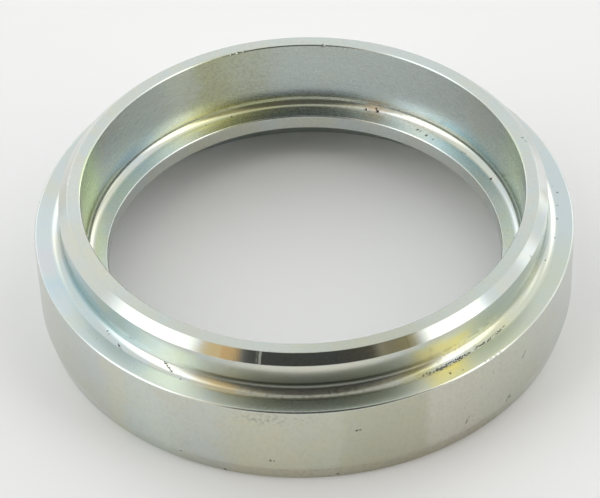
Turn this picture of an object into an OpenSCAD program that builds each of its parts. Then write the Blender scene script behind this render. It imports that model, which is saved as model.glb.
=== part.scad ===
// Stepped collar ring, turned from one bar of steel and zinc plated.
// The ring stands on its skirt, with its axis on Z and the floor at Z = 0.

/* [Overall] */
// Outside diameter of the flange
flange_d = 110; // [80:0.5:200]
// Height of the whole ring
total_h = 28; // [23:0.1:60]

/* [Neck] */
// Height of the neck above the shoulder
neck_h = 8.8; // [4.5:0.1:15]
// Width of the shoulder, from the neck out to the flange
shoulder_w = 5.5; // [3:0.1:12]
// Thickness of the neck wall, from the seat bore out
neck_t = 4.5; // [2.8:0.1:12]
// Chamfer around the top of the neck
top_chamfer = 1.8; // [0.4:0.1:3.5]
// Fillet at the root of the neck
neck_fillet = 2.2; // [0.4:0.1:4]

/* [Seat bore] */
// Depth of the seat bore, from the top face down to the ledge
seat_depth = 16; // [8:0.1:20]
// Width of the ledge, from the seat bore in to the lip bore
ledge_w = 4.5; // [3:0.1:12]
// Fillet between the seat bore and the ledge
seat_fillet = 2; // [0.4:0.1:3.5]
// Chamfer at the mouth of the seat bore
mouth_break = 0.2; // [0.1:0.1:2]

/* [Lip] */
// Thickness of the lip under the ledge
lip_t = 3.4; // [1.2:0.1:8]
// Chamfer at the upper edge of the lip bore
lip_break = 0.2; // [0.1:0.1:0.9]

/* [Skirt] */
// Wall thickness of the skirt around the underside recess
skirt_t = 6; // [3:0.1:12]
// Fillet between the recess wall and its roof
recess_fillet = 1.5; // [0.4:0.1:2]
// Chamfer around the outer edge of the shoulder
shoulder_break = 0.3; // [0.1:0.1:2]
// Height of the tapered lead-in at the foot of the flange
lead_in_h = 3.6; // [0.6:0.1:8]
// Depth of the lead-in, measured inwards at the foot
lead_in = 0.8; // [0.1:0.1:2]
// Chamfer on the foot edges and under the lip
edge_break = 0.2; // [0.1:0.05:0.3]

/* [Hidden] */
$fn = 180;
zinc = [0.73, 0.75, 0.69];

flange_r = flange_d / 2;
neck_r = flange_r - shoulder_w;
seat_r = neck_r - neck_t;
lip_r = seat_r - ledge_w;
recess_r = flange_r - skirt_t;

shoulder_z = total_h - neck_h;
ledge_z = total_h - seat_depth;
roof_z = ledge_z - lip_t;

// How far a corner fill reaches back into the metal behind it
bite = 0.5;

// Metal left in an inside corner at the origin, open towards +X and +Y
module corner_fill(radius) {
    difference() {
        translate([-bite, -bite]) square(radius + bite);
        translate([radius, radius]) circle(radius);
    }
}

// Half section with every edge straight, from the foot up the outside and down the bores
module turned_outline() {
    polygon([
        [recess_r + edge_break, 0],
        [flange_r - lead_in - edge_break, 0],
        [flange_r - lead_in, edge_break],
        [flange_r, lead_in_h],
        [flange_r, shoulder_z - shoulder_break],
        [flange_r - shoulder_break, shoulder_z],
        [neck_r, shoulder_z],
        [neck_r, total_h - top_chamfer],
        [neck_r - top_chamfer, total_h],
        [seat_r + mouth_break, total_h],
        [seat_r, total_h - mouth_break],
        [seat_r, ledge_z],
        [lip_r + lip_break, ledge_z],
        [lip_r, ledge_z - lip_break],
        [lip_r, roof_z + edge_break],
        [lip_r + edge_break, roof_z],
        [recess_r, roof_z],
        [recess_r, edge_break],
    ]);
}

// The outline with its three inside corners rounded
module half_section() {
    turned_outline();
    translate([neck_r, shoulder_z]) corner_fill(neck_fillet);
    translate([seat_r, ledge_z]) mirror([1, 0]) corner_fill(seat_fillet);
    translate([recess_r, roof_z]) rotate(180) corner_fill(recess_fillet);
}

module collar() {
    color(zinc)
        rotate_extrude() half_section();
}

collar();
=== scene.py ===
# Stepped collar ring, zinc plated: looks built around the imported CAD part.
import math
import random

import bpy
from mathutils import Matrix, Vector, kdtree, noise


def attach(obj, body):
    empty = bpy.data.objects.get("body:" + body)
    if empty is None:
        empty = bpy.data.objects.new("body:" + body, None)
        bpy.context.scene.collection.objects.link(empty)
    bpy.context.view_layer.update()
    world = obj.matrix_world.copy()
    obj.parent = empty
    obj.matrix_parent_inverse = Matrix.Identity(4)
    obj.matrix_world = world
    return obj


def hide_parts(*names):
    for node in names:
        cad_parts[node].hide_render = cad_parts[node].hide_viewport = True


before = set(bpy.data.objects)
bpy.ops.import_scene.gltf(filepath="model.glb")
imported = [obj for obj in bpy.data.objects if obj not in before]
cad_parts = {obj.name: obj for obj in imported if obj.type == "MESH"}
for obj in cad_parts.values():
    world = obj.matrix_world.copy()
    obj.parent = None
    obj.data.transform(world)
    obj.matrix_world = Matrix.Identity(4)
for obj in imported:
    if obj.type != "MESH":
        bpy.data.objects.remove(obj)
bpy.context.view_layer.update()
bpy.ops.object.select_all(action="DESELECT")
mm = 0.001

# the camera looks down from the front, -Y
camera = {
    "elevation": 43.0,      # degrees above the floor
    "roll": -2.1,           # degrees, tipped a touch to one side
    "distance": 577.5,      # mm from the aim point
    "aim": (-1.0, -4.4, 14.6),
    "lens": 169.8, "sensor": 36,
    "near": 0.01,           # metres
}


def placeCamera(p):
    tilt, roll = math.radians(p["elevation"]), math.radians(p["roll"])
    back = Vector((0, -math.cos(tilt), math.sin(tilt)))
    levelUp = Vector((0, math.sin(tilt), math.cos(tilt)))
    right = Vector((1, 0, 0)) * math.cos(roll) + levelUp * math.sin(roll)
    up = back.cross(right)
    turn = Matrix((right, up, back)).transposed()
    place = (Vector(p["aim"]) + back * p["distance"]) * mm
    bpy.ops.object.camera_add(location=place, rotation=turn.to_euler())
    shot = bpy.context.object
    shot.data.lens = p["lens"]
    shot.data.sensor_width = p["sensor"]
    shot.data.clip_start = p["near"]
    bpy.context.scene.camera = shot


placeCamera(camera)
print("camera placed")

# the ring is one outline spun round Z; sizes in mm
ring = {
    "flange": 110, "neck": 99, "seat": 90, "lip": 81, "recess": 98,     # diameters
    "top": 28, "shoulder": 19.2, "ledge": 12, "roof": 8.6,              # heights above the foot
    "neckFillet": 2.2, "seatFillet": 2, "recessFillet": 1.5,
    "topChamfer": 1.8, "mouthBreak": 0.2, "shoulderBreak": 0.3, "lipBreak": 0.2, "edgeBreak": 0.2,
    "leadIn": 0.8, "leadInHeight": 3.6,
    "edgeRadius": 0.08, "fineRadius": 0.04, "leadInRadius": 0.32, "shoulderRadius": 0.28,
    "edgeSteps": 2, "filletSteps": 10,
    "filletFrom": 1,                # a rounding larger than this is cut in filletSteps
    "longestSide": 1.3,
    "mergeGap": 0.002,
    "turns": 480,                   # faces round the ring
}


def ringCorners(p):
    # (radius, height, rounding) from the foot up the outside and down through the bores
    flange, neck, seat, lip, recess = (p[k] / 2 for k in ("flange", "neck", "seat", "lip", "recess"))
    top, shoulder, ledge, roof = (p[k] for k in ("top", "shoulder", "ledge", "roof"))
    edge, fine = p["edgeRadius"], p["fineRadius"]
    return [
        (recess + p["edgeBreak"], 0, fine),
        (flange - p["leadIn"] - p["edgeBreak"], 0, fine),
        (flange - p["leadIn"], p["edgeBreak"], fine),
        (flange, p["leadInHeight"], p["leadInRadius"]),
        (flange, shoulder - p["shoulderBreak"], p["shoulderRadius"]),
        (flange - p["shoulderBreak"], shoulder, p["shoulderRadius"]),
        (neck, shoulder, p["neckFillet"]),
        (neck, top - p["topChamfer"], edge),
        (neck - p["topChamfer"], top, edge),
        (seat + p["mouthBreak"], top, edge),
        (seat, top - p["mouthBreak"], edge),
        (seat, ledge, p["seatFillet"]),
        (lip + p["lipBreak"], ledge, edge),
        (lip, ledge - p["lipBreak"], edge),
        (lip, roof + p["edgeBreak"], fine),
        (lip + p["edgeBreak"], roof, fine),
        (recess, roof, p["recessFillet"]),
        (recess, p["edgeBreak"], fine),
    ]


def makeRing(p):
    corners = ringCorners(p)
    points = [(radius * mm, 0, height * mm) for radius, height, _ in corners]
    sides = [(i, (i + 1) % len(points)) for i in range(len(points))]
    mesh = bpy.data.meshes.new("collarRing")
    mesh.from_pydata(points, sides, [])
    piece = bpy.data.objects.new("collarRing", mesh)
    bpy.context.collection.objects.link(piece)
    bpy.context.view_layer.objects.active = piece
    piece.select_set(True)
    bpy.ops.object.mode_set(mode="EDIT")
    bpy.ops.mesh.select_mode(type="VERT")
    for i, (_, _, rounding) in enumerate(corners):
        here = Vector(points[i])
        into = (here - Vector(points[i - 1])).normalized()
        out = (Vector(points[(i + 1) % len(points)]) - here).normalized()
        turn = into.angle(out)
        steps = p["filletSteps"] if rounding > p["filletFrom"] else p["edgeSteps"]
        roundCorner(piece, here, rounding * mm * math.tan(turn / 2), steps)
    splitLongSides(piece, p["longestSide"] * mm)
    bpy.ops.mesh.select_all(action="SELECT")
    bpy.ops.mesh.spin(steps=p["turns"], angle=math.tau, center=(0, 0, 0), axis=(0, 0, 1))
    bpy.ops.mesh.select_all(action="SELECT")
    bpy.ops.mesh.remove_doubles(threshold=p["mergeGap"] * mm)
    bpy.ops.mesh.normals_make_consistent(inside=False)
    bpy.ops.object.mode_set(mode="OBJECT")
    return piece


def roundCorner(piece, here, cut, steps):
    bpy.ops.mesh.select_all(action="DESELECT")
    bpy.ops.object.mode_set(mode="OBJECT")
    nearest = min(piece.data.vertices, key=lambda v: (v.co - here).length)
    nearest.select = True
    bpy.ops.object.mode_set(mode="EDIT")
    bpy.ops.mesh.bevel(offset_type="OFFSET", offset=cut, segments=steps, profile=0.5, affect="VERTICES")


def splitLongSides(piece, longest):
    # short sides give the flaws enough mesh to sink into
    bpy.ops.mesh.select_mode(type="EDGE")
    while True:
        bpy.ops.mesh.select_all(action="DESELECT")
        bpy.ops.object.mode_set(mode="OBJECT")
        place = [v.co for v in piece.data.vertices]
        long = max(piece.data.edges, key=lambda e: (place[e.vertices[0]] - place[e.vertices[1]]).length)
        length = (place[long.vertices[0]] - place[long.vertices[1]]).length
        long.select = length > longest
        bpy.ops.object.mode_set(mode="EDIT")
        if length <= longest:
            break
        bpy.ops.mesh.subdivide(number_cuts=int(length / longest))
    bpy.ops.mesh.select_mode(type="VERT")


collarRing = makeRing(ring)
print("ring spun:", len(collarRing.data.polygons), "faces")

# flaws in the surface: azimuth in degrees from the front, radius, height, size and depth in mm
flaws = {
    "seed": 7,
    "cuts": 3,                     # how finely the mesh near a flaw is split
    "pits": [
        (-51.4, 50.3, 19.8, 0.22, 0.07), (-50.6, 50.5, 19.6, 0.16, 0.06), (-46.8, 50.9, 19.35, 0.15, 0.05),
        (-46.4, 51.0, 19.3, 0.20, 0.07), (-46.0, 51.15, 19.27, 0.14, 0.05), (-45.4, 51.3, 19.2, 0.13, 0.05),
        (-34.2, 49.75, 20.4, 0.13, 0.05), (-33.9, 49.9, 20.2, 0.17, 0.08), (-33.5, 49.85, 20.2, 0.15, 0.07),
        (-33.2, 50.05, 20.0, 0.20, 0.09), (-32.9, 50.2, 19.85, 0.15, 0.07), (-32.6, 50.2, 19.85, 0.19, 0.09),
        (-32.2, 50.4, 19.65, 0.14, 0.06), (-31.8, 50.5, 19.6, 0.17, 0.07), (-29.0, 51.3, 19.3, 0.16, 0.06),
        (113.9, 47.2, 28.0, 0.16, 0.04), (105.1, 47.1, 28.0, 0.16, 0.04), (103.6, 47.4, 28.0, 0.12, 0.03),
        (71.8, 50.5, 19.6, 0.20, 0.07), (80.0, 51.2, 19.3, 0.16, 0.06), (86.5, 51.5, 19.2, 0.20, 0.07),
        (91.0, 51.8, 19.2, 0.16, 0.06), (95.3, 52.5, 19.2, 0.20, 0.07), (97.5, 51.8, 19.2, 0.15, 0.06),
        (160.8, 44.0, 12.3, 0.28, 0.10), (157.4, 44.1, 12.3, 0.34, 0.12), (157.9, 44.5, 12.6, 0.22, 0.08),
        (143.9, 42.8, 12.0, 0.24, 0.08), (142.9, 42.7, 12.0, 0.18, 0.06), (140.4, 42.4, 12.0, 0.27, 0.09),
        (137.9, 42.1, 12.0, 0.15, 0.05), (128.0, 43.4, 12.1, 0.18, 0.06), (127.0, 43.6, 12.1, 0.15, 0.05),
        (114.2, 43.5, 12.1, 0.30, 0.10),
        (30.5, 53.2, 19.2, 0.24, 0.07), (33.2, 53.9, 19.2, 0.16, 0.05),
        (-160.1, 43.6, 12.1, 0.20, 0.06), (-166.0, 43.2, 12.0, 0.16, 0.05), (-152.0, 43.5, 12.1, 0.16, 0.05),
        (-18.4, 54.3, 0.5, 0.34, 0.09), (5.0, 54.4, 0.9, 0.24, 0.07), (45.3, 55.0, 4.6, 0.26, 0.05),
        (45.9, 55.0, 4.3, 0.22, 0.05), (33.7, 55.0, 5.7, 0.18, 0.05), (-8.6, 55.0, 5.6, 0.26, 0.04),
        (-7.9, 55.0, 5.5, 0.18, 0.04), (-28.0, 54.9, 3.0, 0.20, 0.05), (40.5, 55.0, 14.8, 0.16, 0.04),
    ],
    # rough rows and strokes: azimuth from and to, radius, height from and to, how many, size, depth, spread
    "rows": [
        (25.0, 31.5, 51.25, 19.26, 19.26, 24, 0.13, 0.07, 0.28),
        (28.5, 37.5, 51.12, 19.31, 19.31, 60, 0.15, 0.09, 0.30),
        (38.8, 49.0, 51.05, 19.34, 19.34, 40, 0.13, 0.08, 0.20),
        (8.3, 10.2, 55.0, 13.0, 13.3, 9, 0.13, 0.04, 0.03),
        (33.0, 34.2, 55.0, 4.6, 6.8, 9, 0.14, 0.04, 0.03),
        (44.8, 46.2, 55.0, 4.0, 5.3, 8, 0.13, 0.04, 0.03),
        (49.4, 51.2, 55.0, 12.2, 14.0, 10, 0.12, 0.04, 0.03),
    ],
    # nicks that bruise an edge
    "nicks": [
        (39.9, 54.9, 19.1, 0.40, 0.08), (41.2, 54.95, 19.0, 0.34, 0.08), (42.6, 54.9, 19.05, 0.30, 0.06),
        (38.4, 54.8, 19.15, 0.26, 0.05), (-163.7, 45.1, 27.9, 0.40, 0.09), (-161.8, 45.1, 27.9, 0.28, 0.06),
        (-165.4, 45.1, 27.9, 0.28, 0.06), (173.1, 45.1, 27.9, 0.42, 0.10), (-95.0, 47.7, 28.0, 0.40, 0.06),
        (118.0, 47.7, 28.0, 0.36, 0.06), (-118.0, 55.0, 19.0, 0.40, 0.08), (150.0, 55.0, 19.0, 0.42, 0.08),
        (64.0, 49.4, 26.3, 0.30, 0.05), (-140.0, 49.4, 26.2, 0.36, 0.06), (-62.0, 54.95, 19.1, 0.30, 0.05),
    ],
    "nickDirt": 0.25,              # a nick holds less dirt than a pit
    "rowJitter": 0.6, "rowGrow": (0.6, 1.4),
    "reach": 0.75,                 # mm of finer mesh beyond a flaw
    "widest": 1.8,                 # how many sizes out a ragged flaw can reach
    "ragged": 0.55, "raggedScale": 5200,
    "dirtSpread": 1.5,
}


def aroundRing(azimuth, radius, height):
    turn = math.radians(azimuth)
    return Vector((math.sin(turn) * radius, -math.cos(turn) * radius, height)) * mm


def listFlaws(p):
    dice = random.Random(p["seed"])
    found = [(aroundRing(*spot[:3]), spot[3] * mm, spot[4] * mm, 1.0) for spot in p["pits"]]
    found += [(aroundRing(*spot[:3]), spot[3] * mm, spot[4] * mm, p["nickDirt"]) for spot in p["nicks"]]
    for start, end, radius, low, high, count, size, depth, spread in p["rows"]:
        for i in range(count):
            along = (i + dice.uniform(-p["rowJitter"], p["rowJitter"])) / count
            grow = dice.uniform(*p["rowGrow"])
            spot = aroundRing(start + (end - start) * along, radius + dice.uniform(-spread, spread),
                              low + (high - low) * along)
            found.append((spot, size * grow * mm, depth * grow * mm, 1.0))
    return found


def findNear(places):
    tree = kdtree.KDTree(len(places))
    for i, place in enumerate(places):
        tree.insert(place, i)
    tree.balance()
    return tree


def sinkFlaws(piece, p):
    spots = listFlaws(p)
    mesh = piece.data
    for item in (*mesh.polygons, *mesh.edges, *mesh.vertices):
        item.select = False
    near = findNear([polygon.center for polygon in mesh.polygons])
    for spot, size, _, _ in spots:
        for _, i, _ in near.find_range(spot, size + p["reach"] * mm):
            mesh.polygons[i].select = True
    bpy.ops.object.mode_set(mode="EDIT")
    bpy.ops.mesh.select_mode(type="FACE")
    bpy.ops.mesh.subdivide(number_cuts=p["cuts"])
    bpy.ops.object.mode_set(mode="OBJECT")
    near = findNear([vertex.co for vertex in mesh.vertices])
    sunk, dirty = {}, {}
    for spot, size, depth, dirt in spots:
        for place, i, away in near.find_range(spot, size * p["widest"]):
            ragged = away / size * (1 + p["ragged"] * noise.noise(place * p["raggedScale"]))
            bowl = max(0.0, 1 - ragged * ragged)
            sunk[i] = max(sunk.get(i, 0), bowl * depth)
            dirty[i] = max(dirty.get(i, 0), min(1.0, bowl * p["dirtSpread"]) * dirt)
    ways = {i: mesh.vertices[i].normal.copy() for i in sunk}
    for i, sink in sunk.items():
        mesh.vertices[i].co -= ways[i] * sink
    dirtLayer = mesh.attributes.new("flawDirt", "FLOAT", "POINT")
    for i, amount in dirty.items():
        dirtLayer.data[i].value = amount


def smoothRing(piece):
    bpy.ops.object.shade_smooth()
    weighted = piece.modifiers.new("evenNormals", "WEIGHTED_NORMAL")
    weighted.mode = "FACE_AREA"
    weighted.weight = 100
    bpy.ops.object.modifier_apply(modifier=weighted.name)


sinkFlaws(collarRing, flaws)
smoothRing(collarRing)
print("flaws sunk:", len(collarRing.data.polygons), "faces")

allRound = 220      # degrees, a half width that covers the whole way round with its soft edge

# zinc plate over turned steel, with a thin coloured passivate in places, and with painted reflections,
# highlights and shade in its tints
metal = {
    "base": (0.585, 0.62, 0.575),
    "bloomScale": 70, "bloom": 0.45,       # slow clouds under the tints
    "mottleScale": 230, "mottle": 0.13,    # smaller clouds over them
    "bloomColors": [
        (0.30, (0.64, 0.61, 0.47)), (0.43, (0.61, 0.62, 0.56)), (0.52, (0.55, 0.62, 0.66)),
        (0.62, (0.60, 0.61, 0.60)), (0.72, (0.57, 0.66, 0.56)),
    ],
    # radius from and to, height from and to, and soft edge, in mm
    "zones": {
        "wall": (53.8, 56, -1, 18.8, 0.25),
        "foot": (53.8, 56, -1, 3.3, 0.3),
        "wallTop": (53.8, 56, 15.9, 18.4, 0.8),
        "wallLow": (53.8, 56, 1, 9, 3),
        "shoulder": (51.4, 55, 19.0, 19.5, 0.25),
        "root": (49.2, 51.8, 19.1, 21.2, 0.3),
        "rootTop": (49.2, 50.3, 20.2, 21.6, 0.3),
        "neckFoot": (49.2, 50.6, 20.3, 23.8, 0.9),
        "neck": (49.2, 49.8, 20.6, 26.3, 0.25),
        "chamfer": (47.5, 49.8, 26.1, 28.1, 0.2),
        "top": (45.2, 47.9, 27.9, 28.2, 0.25),
        "seat": (44.7, 45.4, 13.4, 28.1, 0.25),
        "seatFoot": (43.8, 45.6, 12.6, 17.5, 2.2),
        "seatLow": (44.4, 45.6, 13.2, 15.8, 1.4),
        "seatTop": (44.4, 45.6, 24.5, 32, 3.5),
        "seatFillet": (42.9, 45.2, 11.9, 14.3, 0.25),
        "ledge": (40.4, 43.4, 11.7, 12.15, 0.25),
        "lip": (39, 40.8, 8, 11.7, 0.25),
    },
    # worn edges, bright and smooth, whose lighter colour also paints thin highlight lines: radius from and to,
    # height from and to
    "edges": {
        "lipEdge": (40.2, 40.75, 11.75, 12.3),
        "shoulderEdge": (54.76, 55.3, 18.80, 19.4),
        "mouthEdge": (44.7, 45.2, 27.8, 28.3),
        "chamferFoot": (49.42, 49.7, 26.1, 26.3),
    },
    "edgeSoft": 0.05, "edgeColor": (0.70, 0.72, 0.69), "edgeWearAndGlint": 0.4, "edgeRoughness": 0.16,
    # zone, azimuth of the middle, half width, soft edge, colour, amount; each tint is partly passivate colour
    # and partly painted light: reflections, highlights and shade set place by place round the ring
    "tintsAndPaintedLight": [
        ("wall", 20, 52, 26, (0.63, 0.61, 0.49), 0.85),
        ("wall", 15, 9.2, 1.4, (0.50, 0.49, 0.365), 0.85),
        ("wall", -62, 30, 20, (0.66, 0.69, 0.63), 0.7),
        ("wall", -50, 6, 7, (0.64, 0.66, 0.67), 0.55),
        ("wall", -22, 3, 5, (0.60, 0.65, 0.61), 0.7),
        ("wall", 3, 6, 6, (0.56, 0.58, 0.46), 0.5),
        ("wall", -35, 6, 6, (0.68, 0.75, 0.68), 0.7),
        ("wall", -12, 5, 4, (0.64, 0.63, 0.48), 0.6),
        ("wall", 32, 5, 6, (0.62, 0.59, 0.50), 0.5),
        ("wall", 50, 11, 10, (0.60, 0.63, 0.55), 0.6),
        ("wall", 72, 16, 12, (0.68, 0.71, 0.67), 0.75),
        ("wallLow", -24, 5, 4, (0.56, 0.62, 0.66), 0.5),
        ("wallLow", -6, 6, 5, (0.66, 0.64, 0.46), 0.4),
        ("wallTop", -30, 4, 4, (0.68, 0.62, 0.56), 0.35),
        ("wallTop", -60, 6, 5, (0.60, 0.66, 0.66), 0.5),
        ("wall", -44, 3, 3, (0.70, 0.70, 0.52), 0.5),
        ("wallLow", -52, 5, 4, (0.70, 0.68, 0.50), 0.5),
        ("wallLow", -38, 4, 3, (0.58, 0.66, 0.68), 0.5),
        # painted shade: the lead-in at the front darkened, with a brown tone, where it mirrors the shadow at
        # its foot
        ("foot", 10, 34, 9, (0.52, 0.48, 0.37), 0.55),
        # painted reflection: the shoulder lightened and blued at both sides where it mirrors the bright sky
        # behind
        ("shoulder", -68, 28, 14, (0.60, 0.68, 0.71), 0.9),
        ("shoulder", 92, 20, 10, (0.54, 0.61, 0.63), 0.85),
        ("shoulder", 30.5, 5, 4, (0.68, 0.63, 0.26), 0.9),
        ("shoulder", 43, 8, 6, (0.60, 0.61, 0.34), 0.75),
        ("shoulder", 60, 16, 10, (0.53, 0.57, 0.46), 0.75),
        # painted shade: the front of the shoulder darkened where it mirrors the neck wall
        ("shoulder", 2, 20, 5, (0.50, 0.56, 0.46), 0.85),
        ("shoulder", -31, 6, 5, (0.68, 0.74, 0.62), 0.75),
        ("shoulder", -50, 10, 7, (0.52, 0.61, 0.57), 0.6),
        ("shoulder", -60, 3, 3, (0.64, 0.66, 0.56), 0.5),
        ("shoulder", -71, 3, 3, (0.50, 0.64, 0.70), 0.6),
        ("shoulder", -80, 4, 3, (0.66, 0.62, 0.66), 0.5),
        # partly blue passivate and partly painted shade: the left-front root rounding darkened
        ("root", -66, 10, 10, (0.46, 0.60, 0.63), 0.6),
        # painted shade: the front of the root rounding darkened where it mirrors the dark room
        ("root", 2, 23, 6, (0.50, 0.49, 0.39), 0.85),
        ("root", -20, 4, 3, (0.56, 0.44, 0.20), 0.8),
        ("root", -50, 8, 6, (0.50, 0.58, 0.58), 0.6),
        ("root", 25, 4.5, 3, (0.44, 0.42, 0.18), 0.9),
        ("root", 46, 8, 6, (0.64, 0.63, 0.36), 0.7),
        ("root", 62, 9, 6, (0.60, 0.62, 0.46), 0.7),
        # partly blue passivate and partly painted shade: the left-front neck foot darkened
        ("neckFoot", -64, 12, 8, (0.32, 0.54, 0.60), 0.9),
        ("neckFoot", 35, 3.5, 3, (0.80, 0.69, 0.20), 0.9),
        ("neckFoot", 27, 4, 4, (0.62, 0.54, 0.46), 0.5),
        ("neck", 50, 7, 6, (0.55, 0.62, 0.65), 0.55),
        ("neck", 76, 8, 8, (0.68, 0.76, 0.70), 0.7),
        ("neck", -50, 8, 8, (0.50, 0.58, 0.57), 0.6),
        ("neck", -34, 5, 4, (0.70, 0.74, 0.70), 0.6),
        # painted reflection: a light band on the front of the neck, where it mirrors the floor and the
        # rounding below
        ("neck", 0, 17, 9, (0.80, 0.80, 0.68), 0.85),
        # painted shade: a near-black band along the top of the front root rounding, where it mirrors the dark
        # room
        ("rootTop", -2, 23, 6, (0.17, 0.18, 0.14), 0.92),
        ("rootTop", -54, 8, 5, (0.38, 0.52, 0.54), 0.7),
        ("chamfer", -20.6, 3.8, 1.6, (0.66, 0.56, 0.31), 0.9),
        ("chamfer", -17.7, 2.3, 0.5, (0.62, 0.45, 0.22), 0.9),
        # painted reflection: the front of the chamfer darkened, and olive to its right, where it mirrors the
        # dark room in front
        ("chamfer", 0, 15.5, 1.5, (0.40, 0.43, 0.41), 0.85),
        ("chamfer", 15, 6, 3, (0.56, 0.52, 0.38), 0.8),
        ("chamfer", 22.5, 2.2, 1.5, (0.60, 0.56, 0.34), 0.75),
        ("chamfer", -75, 6, 5, (0.67, 0.64, 0.50), 0.5),
        ("chamfer", 52, 3, 3, (0.64, 0.64, 0.52), 0.4),
        # painted highlights: the chamfer lightened at both sides where it mirrors the side windows
        ("chamfer", 94, 7, 4, (0.84, 0.86, 0.84), 0.8),
        ("chamfer", -107, 13, 8, (0.72, 0.74, 0.70), 0.75),
        ("chamfer", -52, 5, 6, (0.54, 0.56, 0.53), 0.6),
        ("top", -68, 8, 8, (0.64, 0.63, 0.50), 0.55),
        ("top", 14, 56, 22, (0.50, 0.53, 0.46), 0.8),
        ("top", -22, 10, 8, (0.57, 0.56, 0.51), 0.5),
        ("top", 14, 15, 10, (0.42, 0.42, 0.32), 0.75),
        ("top", 132, 48, 20, (0.55, 0.59, 0.56), 0.6),
        ("top", -92, 12, 8, (0.66, 0.69, 0.67), 0.6),
        ("top", -160, 12, 8, (0.58, 0.59, 0.49), 0.5),
        ("seat", -162, 12, 5, (0.55, 0.56, 0.30), 0.95),
        ("seat", -145, 6, 5, (0.70, 0.75, 0.62), 0.75),
        ("seat", -130, 10, 7, (0.58, 0.66, 0.62), 0.75),
        ("seat", -100, 9, 5, (0.68, 0.82, 0.46), 0.95),
        ("seatLow", -120, 10, 6, (0.30, 0.47, 0.62), 0.75),
        ("seat", 162, 34, 18, (0.63, 0.70, 0.69), 0.8),
        ("seat", 102, 8, 6, (0.68, 0.78, 0.52), 0.75),
        ("seat", 120, 5, 6, (0.58, 0.60, 0.52), 0.4),
        # partly blue passivate and partly painted reflection: the foot of the seat at the back lightened in
        # blue where it mirrors the lit floor
        ("seatFoot", 152, 24, 12, (0.64, 0.73, 0.79), 0.8),
        ("seatFoot", 131, 8, 7, (0.44, 0.61, 0.68), 0.6),
        ("seatLow", 126, 13, 6, (0.28, 0.52, 0.64), 0.85),
        ("seatLow", -150, 10, 6, (0.70, 0.70, 0.48), 0.65),
        ("seatFoot", 101, 6, 6, (0.44, 0.62, 0.66), 0.6),
        ("seatTop", 178, 16, 8, (0.54, 0.56, 0.43), 0.6),
        # partly yellow passivate and partly painted highlight: the back-left seat rounding lightened where it
        # catches the window
        ("seatFillet", -162, 20, 10, (0.76, 0.75, 0.40), 0.9),
        ("seatFillet", -108, 14, 6, (0.62, 0.62, 0.44), 0.6),
        ("seatFillet", 174, 12, 6, (0.70, 0.71, 0.55), 0.7),
        ("seatFillet", 128, 8, 6, (0.52, 0.58, 0.50), 0.6),
        ("seatFillet", 158, 3, 2.5, (0.58, 0.42, 0.24), 0.55),
        ("seatFillet", 140, 12, 8, (0.68, 0.60, 0.46), 0.5),
        # partly yellow passivate and partly painted highlight: the back-left ledge lightened where it catches
        # the window
        ("ledge", -163, 13, 6, (0.86, 0.88, 0.56), 0.95),
        ("ledge", -116, 8, 6, (0.50, 0.60, 0.48), 0.7),
        ("ledge", -134, 9, 6, (0.42, 0.52, 0.56), 0.75),
        ("ledge", 178, 15, 6, (0.64, 0.73, 0.76), 0.7),
        ("ledge", 158, 2.5, 1.5, (0.50, 0.40, 0.24), 0.3),
        # painted shade: a darker strip on the right of the ledge
        ("ledge", 121, 13, 7, (0.38, 0.45, 0.43), 0.85),
        ("lip", -155, 12, 6, (0.57, 0.55, 0.41), 0.6),
        ("lip", 142, 14, 8, (0.70, 0.74, 0.70), 0.6),
    ],
    # zone, azimuth, half width, soft edge, roughness
    "roughPatches": [
        ("chamfer", 0, allRound, 20, 0.13),
        ("seat", 0, allRound, 20, 0.28),
        ("ledge", 0, allRound, 20, 0.28),
        ("shoulder", 0, allRound, 20, 0.30),
        ("shoulder", 0, 24, 8, 0.31),
        ("root", 0, 22, 8, 0.23),
        ("neckFoot", 0, 24, 8, 0.26),
        ("wall", 0, allRound, 20, 0.25),
        ("chamfer", -11.3, 0.24, 0.22, 0.55),      # dull scratches across the chamfer
        ("chamfer", -11.9, 0.12, 0.25, 0.30),
        ("chamfer", -16.6, 0.10, 0.12, 0.30),
        ("chamfer", 22.5, 0.15, 0.15, 0.05),       # and a polished one
    ],
    # blotches: zone, azimuth, half width, soft edge, amount
    "smudges": [
        ("chamfer", 2, 14, 4, 0.30), ("wallTop", -10, 5, 3, 0.55), ("wallTop", -2, 2, 2, 0.30),
        ("wall", 0, allRound, 20, 0.10),
        ("wall", 36, 14, 12, 0.07), ("foot", 20, 30, 10, 0.22),
        ("shoulder", -2, 12, 6, 0.35), ("root", 0, 14, 6, 0.55), ("root", 36, 8, 4, 0.30),
        ("ledge", 178, 12, 5, 0.50), ("ledge", 140, 22, 8, 0.22), ("seat", -161, 11, 6, 0.26),
        ("seatFillet", 160, 22, 8, 0.22), ("seatTop", 178, 12, 8, 0.15), ("lip", 0, allRound, 20, 0.12),
        ("top", 0, allRound, 20, 0.07), ("neckFoot", 0, allRound, 20, 0.10),
    ],
    "roughness": 0.19,
    "strayScale": 190,
    "wander": 10, "fineWander": 2.5,       # degrees that the edges of soft and crisp tints stray over
    "softFrom": 2,                         # a tint with a wider soft edge than this is a soft one
    "marksPitch": 0.42,                    # mm between turning marks
    "marksLength": 6, "marksBump": 0.06, "marksDepth": 0.05, "marksRoughness": 0.10,
    "grainScale": 2600, "grainRange": (0.36, 0.66), "grainShade": 0.55, "grainDark": 0.045,
    "grainRoughness": 0.025,
    "smudgeScale": 1250, "smudgeRange": (0.47, 0.62), "smudge": (0.30, 0.31, 0.26),
    "dirt": (0.045, 0.04, 0.03), "dirtRoughness": 0.7,
    "dirtDull": 1.4,                       # how much dirt would leave no metal showing
}


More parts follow.
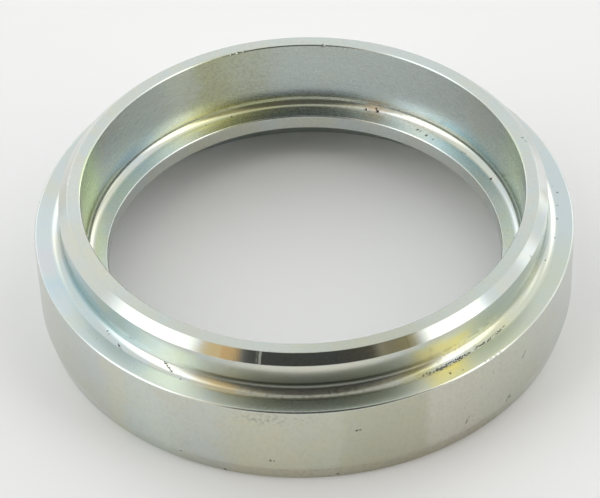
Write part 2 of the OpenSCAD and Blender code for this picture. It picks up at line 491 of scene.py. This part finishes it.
def makeNode(tree, kind, inputs=(), **settings):
    # an input is either a socket to link from or a plain value
    made = tree.nodes.new(kind)
    for name, value in settings.items():
        setattr(made, name, value)
    for socket, value in dict(inputs).items():
        if isinstance(value, bpy.types.NodeSocket):
            tree.links.new(value, made.inputs[socket])
        else:
            made.inputs[socket].default_value = value
    return made


def doMath(tree, operation, *values):
    return makeNode(tree, "ShaderNodeMath", dict(enumerate(values)), operation=operation).outputs[0]


def ramp(tree, value, low, high):
    # 0 below low and 1 above high, with a smooth step between; swapped ends turn it round
    return makeNode(tree, "ShaderNodeMapRange", {"Value": value, "From Min": low, "From Max": high},
                    interpolation_type="SMOOTHSTEP").outputs[0]


def mixColor(tree, amount, first, second):
    return makeNode(tree, "ShaderNodeMix", {0: amount, 6: first, 7: second}, data_type="RGBA").outputs[2]


def mixValue(tree, amount, first, second):
    return makeNode(tree, "ShaderNodeMix", {0: amount, 2: first, 3: second}, data_type="FLOAT").outputs[0]


def newGroup(name, inputs, outputs):
    group = bpy.data.node_groups.new(name, "ShaderNodeTree")
    kinds = {"value": "NodeSocketFloat", "vector": "NodeSocketVector", "color": "NodeSocketColor"}
    for label, kind in inputs:
        group.interface.new_socket(label, in_out="INPUT", socket_type=kinds[kind])
    for label, kind in outputs:
        group.interface.new_socket(label, in_out="OUTPUT", socket_type=kinds[kind])
    taken = group.nodes.new("NodeGroupInput").outputs
    given = group.nodes.new("NodeGroupOutput").inputs
    return group, taken, given


def placeGroup(tree, group, inputs):
    return makeNode(tree, "ShaderNodeGroup", inputs, node_tree=group).outputs


def ringPlaceGroup():
    # where a point of the surface is: degrees round the ring from the front, and mm out and up
    group, taken, given = newGroup("ringPlace", [("Vector", "vector")],
                                   [("Azimuth", "value"), ("Radius", "value"), ("Height", "value")])
    axes = makeNode(group, "ShaderNodeSeparateXYZ", {0: taken["Vector"]}).outputs
    angle = doMath(group, "ARCTAN2", axes["X"], doMath(group, "MULTIPLY", axes["Y"], -1.0))
    group.links.new(doMath(group, "DEGREES", angle), given["Azimuth"])
    flat = makeNode(group, "ShaderNodeCombineXYZ", {"X": axes["X"], "Y": axes["Y"]}).outputs[0]
    out = makeNode(group, "ShaderNodeVectorMath", {0: flat}, operation="LENGTH").outputs["Value"]
    group.links.new(doMath(group, "MULTIPLY", out, 1 / mm), given["Radius"])
    group.links.new(doMath(group, "MULTIPLY", axes["Z"], 1 / mm), given["Height"])
    return group


def ringZoneGroup():
    # 1 on one stretch of the outline, in radius and height
    labels = ("Radius", "Height", "RadiusLow", "RadiusHigh", "HeightLow", "HeightHigh", "Soft")
    group, taken, given = newGroup("ringZone", [(label, "value") for label in labels], [("Mask", "value")])
    mask = 1.0
    for name in ("Radius", "Height"):
        for end, side in (("Low", "ADD"), ("High", "SUBTRACT")):
            inner = doMath(group, side, taken[name + end], taken["Soft"])
            other = "SUBTRACT" if side == "ADD" else "ADD"
            outer = doMath(group, other, taken[name + end], taken["Soft"])
            mask = doMath(group, "MULTIPLY", ramp(group, taken[name], outer, inner), mask)
    group.links.new(mask, given["Mask"])
    return group


def roundBandGroup():
    # 1 on one stretch of the way round
    labels = ("Azimuth", "Middle", "Half", "Soft")
    group, taken, given = newGroup("roundBand", [(label, "value") for label in labels], [("Mask", "value")])
    offset = doMath(group, "SUBTRACT", taken["Azimuth"], taken["Middle"])
    offset = doMath(group, "ABSOLUTE", doMath(group, "WRAP", offset, 180.0, -180.0))
    outer = doMath(group, "ADD", taken["Half"], taken["Soft"])
    inner = doMath(group, "SUBTRACT", taken["Half"], taken["Soft"])
    group.links.new(ramp(group, offset, outer, inner), given["Mask"])
    return group


def latheMarksGroup():
    # fine rings left by the tool, which wander a little round the piece
    labels = ("Azimuth", "Radius", "Height", "Pitch", "Length")
    group, taken, given = newGroup("latheMarks", [(label, "value") for label in labels], [("Marks", "value")])
    turn = doMath(group, "RADIANS", taken["Azimuth"])
    place = makeNode(group, "ShaderNodeCombineXYZ", {
        "X": doMath(group, "DIVIDE", taken["Radius"], taken["Pitch"]),
        "Y": doMath(group, "DIVIDE", taken["Height"], taken["Pitch"]),
        "Z": doMath(group, "MULTIPLY", doMath(group, "COSINE", turn), taken["Length"])}).outputs[0]
    marks = makeNode(group, "ShaderNodeTexNoise", {
        "Vector": place, "Scale": 1.0, "Detail": 2.0, "Roughness": 0.6,
        "W": doMath(group, "MULTIPLY", doMath(group, "SINE", turn), taken["Length"])}, noise_dimensions="4D")
    group.links.new(marks.outputs["Fac"], given["Marks"])
    return group


def bloomGroup(colors):
    # clouds of straw, blue and green in the passivate
    inputs = [("Vector", "vector"), ("Color", "color"), ("Scale", "value"), ("Amount", "value")]
    group, taken, given = newGroup("passivateBloom", inputs, [("Color", "color")])
    cloud = makeNode(group, "ShaderNodeTexNoise", {"Vector": taken["Vector"], "Scale": taken["Scale"],
                     "Detail": 3.0, "Roughness": 0.55, "Distortion": 0.8}).outputs["Fac"]
    palette = makeNode(group, "ShaderNodeValToRGB", {"Fac": cloud})
    stops = palette.color_ramp.elements
    for stop, (spot, tint) in zip(stops, (colors[0], colors[-1])):
        stop.position = spot
        stop.color = (*tint, 1)
    for spot, tint in colors[1:-1]:
        stops.new(spot).color = (*tint, 1)
    mixed = mixColor(group, taken["Amount"], taken["Color"], palette.outputs["Color"])
    group.links.new(mixed, given["Color"])
    return group


def grainGroup(p):
    # fine speckle of the plating, and the blots that smudges are made of
    inputs = [("Vector", "vector"), ("Scale", "value"), ("BlotScale", "value")]
    group, taken, given = newGroup("plateGrain", inputs, [("Grain", "value"), ("Blots", "value")])
    fine = makeNode(group, "ShaderNodeTexNoise", {"Vector": taken["Vector"], "Scale": taken["Scale"],
                    "Detail": 3.0, "Roughness": 0.7}).outputs["Fac"]
    blot = makeNode(group, "ShaderNodeTexNoise", {"Vector": taken["Vector"], "Scale": taken["BlotScale"],
                    "Detail": 4.0, "Roughness": 0.65}).outputs["Fac"]
    group.links.new(ramp(group, fine, *p["grainRange"]), given["Grain"])
    group.links.new(ramp(group, blot, *p["smudgeRange"]), given["Blots"])
    return group


def outlineMask(tree, zoneGroup, where, ends):
    # ends are the radius from and to, the height from and to, and the soft edge
    sides = dict(zip(("RadiusLow", "RadiusHigh", "HeightLow", "HeightHigh", "Soft"), ends))
    return placeGroup(tree, zoneGroup, {"Radius": where["Radius"], "Height": where["Height"], **sides})["Mask"]


def patchMask(tree, bandGroup, azimuth, zone, middle, half, soft):
    band = placeGroup(tree, bandGroup, {"Azimuth": azimuth, "Middle": middle, "Half": half, "Soft": soft})
    return doMath(tree, "MULTIPLY", band["Mask"], zone)


def strayAzimuths(tree, p, place, azimuth):
    # azimuths that wander a lot and a little, so that no patch has a straight edge
    stray = makeNode(tree, "ShaderNodeTexNoise", {"Vector": place, "Scale": p["strayScale"],
                     "Detail": 3.0}).outputs["Fac"]
    stray = doMath(tree, "SUBTRACT", stray, 0.5)
    return [doMath(tree, "MULTIPLY_ADD", stray, p[key], azimuth) for key in ("wander", "fineWander")]


# the tints paint passivate colour together with painted reflections, painted highlights and painted shade
def tintPlateAndPaintLight(tree, p, place, strayed, hardly, zones, bandGroup):
    clouds = bloomGroup(p["bloomColors"])
    color = placeGroup(tree, clouds, {"Vector": place, "Color": (*p["base"], 1), "Scale": p["bloomScale"],
                                      "Amount": p["bloom"]})["Color"]
    for zone, middle, half, soft, tint, amount in p["tintsAndPaintedLight"]:
        azimuth = strayed if soft > p["softFrom"] else hardly
        mask = patchMask(tree, bandGroup, azimuth, zones[zone], middle, half, soft)
        color = mixColor(tree, doMath(tree, "MULTIPLY", mask, amount), color, (*tint, 1))
    return placeGroup(tree, clouds, {"Vector": place, "Color": color, "Scale": p["mottleScale"],
                                     "Amount": p["mottle"]})["Color"]


def roughenPlate(tree, p, azimuth, zones, bandGroup):
    rough = p["roughness"]
    for zone, middle, half, soft, value in p["roughPatches"]:
        mask = patchMask(tree, bandGroup, azimuth, zones[zone], middle, half, soft)
        rough = mixValue(tree, mask, rough, value)
    return rough


def speckPlate(tree, p, color, grain, azimuth, zones, bandGroup):
    # the fine grain all over, then the smudges
    darker = makeNode(tree, "ShaderNodeHueSaturation", {"Value": p["grainShade"], "Color": color}).outputs[0]
    color = mixColor(tree, doMath(tree, "MULTIPLY", grain["Grain"], p["grainDark"]), color, darker)
    for zone, middle, half, soft, amount in p["smudges"]:
        mask = patchMask(tree, bandGroup, azimuth, zones[zone], middle, half, soft)
        mask = doMath(tree, "MULTIPLY", mask, amount)
        color = mixColor(tree, doMath(tree, "MULTIPLY", mask, grain["Blots"]), color, (*p["smudge"], 1))
    return color


def zincPlate(p):
    material = bpy.data.materials.new("zincPlate")
    material.use_nodes = True
    tree = material.node_tree
    shader = tree.nodes["Principled BSDF"]
    place = makeNode(tree, "ShaderNodeTexCoord").outputs["Object"]
    ringPlace = placeGroup(tree, ringPlaceGroup(), {"Vector": place})
    where = {name: ringPlace[name] for name in ("Azimuth", "Radius", "Height")}
    zoneGroup, bandGroup = ringZoneGroup(), roundBandGroup()
    zones = {name: outlineMask(tree, zoneGroup, where, ends) for name, ends in p["zones"].items()}
    strayed, hardly = strayAzimuths(tree, p, place, where["Azimuth"])
    marks = placeGroup(tree, latheMarksGroup(), {**where, "Pitch": p["marksPitch"],
                                                 "Length": p["marksLength"]})["Marks"]
    grain = placeGroup(tree, grainGroup(p), {"Vector": place, "Scale": p["grainScale"],
                                             "BlotScale": p["smudgeScale"]})

    color = tintPlateAndPaintLight(tree, p, place, strayed, hardly, zones, bandGroup)
    color = speckPlate(tree, p, color, grain, strayed, zones, bandGroup)
    rough = roughenPlate(tree, p, hardly, zones, bandGroup)
    # the edges are lightened: partly wear and partly painted highlight lines
    for ends in p["edges"].values():
        edge = outlineMask(tree, zoneGroup, where, (*ends, p["edgeSoft"]))
        wornGlint = doMath(tree, "MULTIPLY", edge, p["edgeWearAndGlint"])
        color = mixColor(tree, wornGlint, color, (*p["edgeColor"], 1))
        rough = mixValue(tree, wornGlint, rough, p["edgeRoughness"])
    for pattern, share in ((marks, p["marksRoughness"]), (grain["Grain"], p["grainRoughness"])):
        rough = doMath(tree, "MULTIPLY_ADD", doMath(tree, "SUBTRACT", pattern, 0.5), share, rough)

    dirt = makeNode(tree, "ShaderNodeAttribute", attribute_name="flawDirt").outputs["Fac"]
    color = mixColor(tree, dirt, color, (*p["dirt"], 1))
    rough = mixValue(tree, dirt, rough, p["dirtRoughness"])
    tree.links.new(color, shader.inputs["Base Color"])
    tree.links.new(rough, shader.inputs["Roughness"])
    tree.links.new(ramp(tree, dirt, p["dirtDull"], 0.0), shader.inputs["Metallic"])
    bump = makeNode(tree, "ShaderNodeBump", {"Height": marks, "Strength": p["marksBump"],
                                             "Distance": p["marksDepth"] * mm})
    tree.links.new(bump.outputs["Normal"], shader.inputs["Normal"])
    return material


collarRing.data.materials.append(zincPlate(metal))
print("zinc plate made")

# a paper floor under a soft sky with brighter windows at its sides
stage = {
    "paper": (0.92, 0.915, 0.92),
    "paperRoughness": 0.9,
    "paperSide": 6,                  # metres
    "sky": (1.03, 1.05, 1.05),
    # azimuth and elevation of the middle, half width, half height and soft edge in degrees, and the light
    "windows": {
        "overhead": (0, 90, 200, 17, 7, (0.55, 0.55, 0.53)),
        "leftWindow": (-71, 28, 18, 34, 8, (2.05, 2.1, 2.1)),
        "rightWindow": (68, 26, 14, 30, 4, (2.15, 2.1, 2.05)),
        "rightStrip": (109, 16, 5, 14, 3, (1.5, 1.5, 1.48)),
        "backLeftWindow": (-150, 20, 13, 19, 6, (1.75, 1.75, 1.75)),
        "backRightWindow": (142, 18, 13, 20, 5, (1.85, 1.85, 1.8)),
        "amberRoom": (-42, 38, 10, 38, 3, (0.80, 0.72, 0.58)),
        "oliveRoom": (42, 38, 10, 38, 6, (0.30, 0.28, 0.20)),
        "darkRoom": (0, 38, 33, 38, 2, (0.10, 0.10, 0.095)),
    },
}


def makeFloor(p):
    bpy.ops.mesh.primitive_plane_add(size=p["paperSide"], location=(0, 0, 0))
    floor = bpy.context.object
    floor.name = "studioFloor"
    paper = bpy.data.materials.new("studioPaper")
    paper.use_nodes = True
    shader = paper.node_tree.nodes["Principled BSDF"]
    shader.inputs["Base Color"].default_value = (*p["paper"], 1)
    shader.inputs["Roughness"].default_value = p["paperRoughness"]
    floor.data.materials.append(paper)


def makeSky(p):
    world = bpy.data.worlds.new("studioSky")
    world.use_nodes = True
    bpy.context.scene.world = world
    tree = world.node_tree
    place = makeNode(tree, "ShaderNodeTexCoord").outputs["Generated"]
    axes = makeNode(tree, "ShaderNodeSeparateXYZ", {0: place}).outputs
    azimuth = doMath(tree, "ARCTAN2", axes["X"], doMath(tree, "MULTIPLY", axes["Y"], -1.0))
    azimuth = doMath(tree, "DEGREES", azimuth)
    elevation = doMath(tree, "DEGREES", doMath(tree, "ARCSINE", axes["Z"]))
    light = (*p["sky"], 1)
    for turn, height, halfWide, halfTall, soft, color in p["windows"].values():
        across = doMath(tree, "WRAP", doMath(tree, "SUBTRACT", azimuth, turn), 180.0, -180.0)
        across = doMath(tree, "ABSOLUTE", across)
        upward = doMath(tree, "ABSOLUTE", doMath(tree, "SUBTRACT", elevation, height))
        inside = doMath(tree, "MULTIPLY", ramp(tree, across, halfWide + soft, halfWide - soft),
                        ramp(tree, upward, halfTall + soft, halfTall - soft))
        light = mixColor(tree, inside, light, (*color, 1))
    tree.links.new(light, tree.nodes["Background"].inputs["Color"])


makeFloor(stage)
makeSky(stage)
bpy.context.scene.view_settings.view_transform = "Standard"
print("stage set")

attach(collarRing, "root")
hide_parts("collar")
